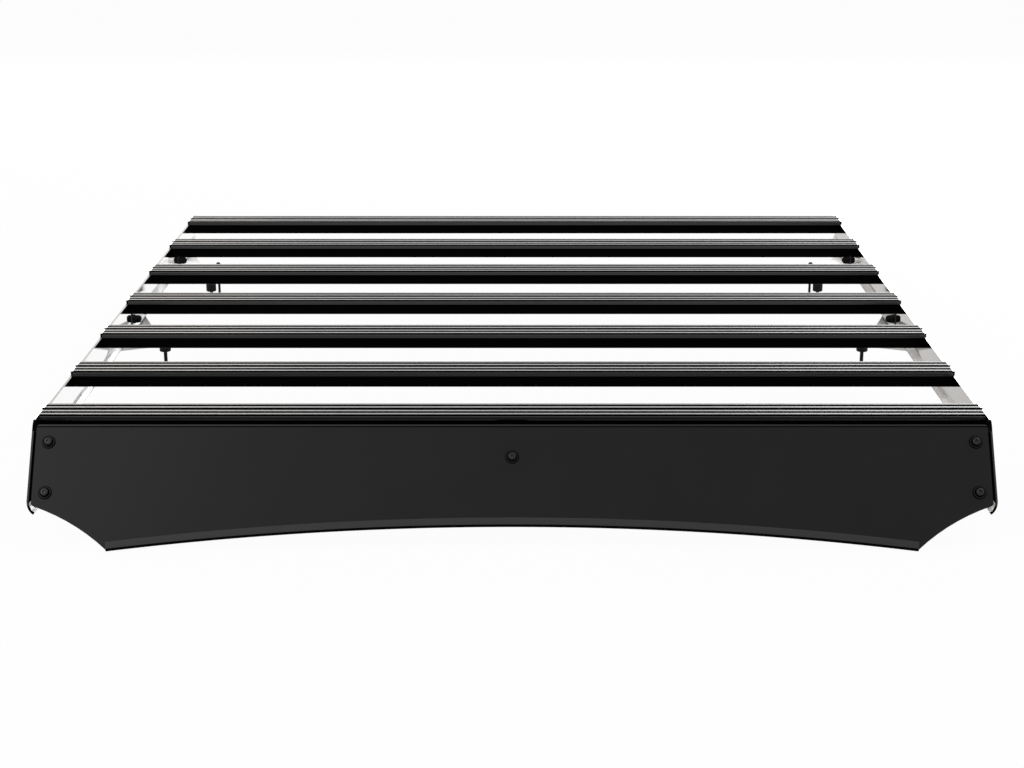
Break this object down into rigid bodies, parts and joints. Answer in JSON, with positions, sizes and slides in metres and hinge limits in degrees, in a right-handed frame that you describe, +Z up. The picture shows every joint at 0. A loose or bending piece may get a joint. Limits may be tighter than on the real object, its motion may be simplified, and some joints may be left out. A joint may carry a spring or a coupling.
{
  "type": "flat platform roof rack",
  "caption": "Low flat roof platform of ridged cross slats between thin side rails, with a sloping front fairing and bolted roof feet.",
  "frame": {"origin": "middle of the overall box at its lowest level, which is the tips of the fairing's trim", "axes": "+Z up, +Y from the fairing towards the rear, +X to the right as seen from the front"},
  "size_m": [1.2686, 1.4026, 0.1466],
  "materials": {
    "slat_black": "fine-textured black powder coat on an extrusion",
    "rail_sheet": "satin sheet, pale inside and along its top edge, black coat outside",
    "fairing_black": "smooth satin black powder coat",
    "trim_rubber": "matt extruded rubber edge trim",
    "bracket_black": "satin black coat",
    "foot_sheet": "pale zinc-grey coat",
    "fastener_black": "black oxide",
    "spacer_black": "black anodised"
  },
  "bodies": {
    "root": {"centre_fairing_bracket": "bracket_black", "fairing_edge_trim": "trim_rubber", "fairing_panel": "fairing_black", "front_left_foot": "foot_sheet", "front_right_foot": "foot_sheet", "left_fairing_bracket": "bracket_black", "left_foot_bolts": "fastener_black", "left_mount_bolts": "fastener_black", "left_rail": "rail_sheet", "left_spacers": "spacer_black", "rear_left_foot": "foot_sheet", "rear_left_level_rod": "fastener_black", "rear_right_foot": "foot_sheet", "rear_right_level_rod": "fastener_black", "right_fairing_bracket": "bracket_black", "right_foot_bolts": "fastener_black", "right_mount_bolts": "fastener_black", "right_rail": "rail_sheet", "right_spacers": "spacer_black", "slat_1": "slat_black", "slat_2": "slat_black", "slat_3": "slat_black", "slat_4": "slat_black", "slat_5": "slat_black", "slat_6": "slat_black", "slat_7": "slat_black"}
  },
  "joints": []
}
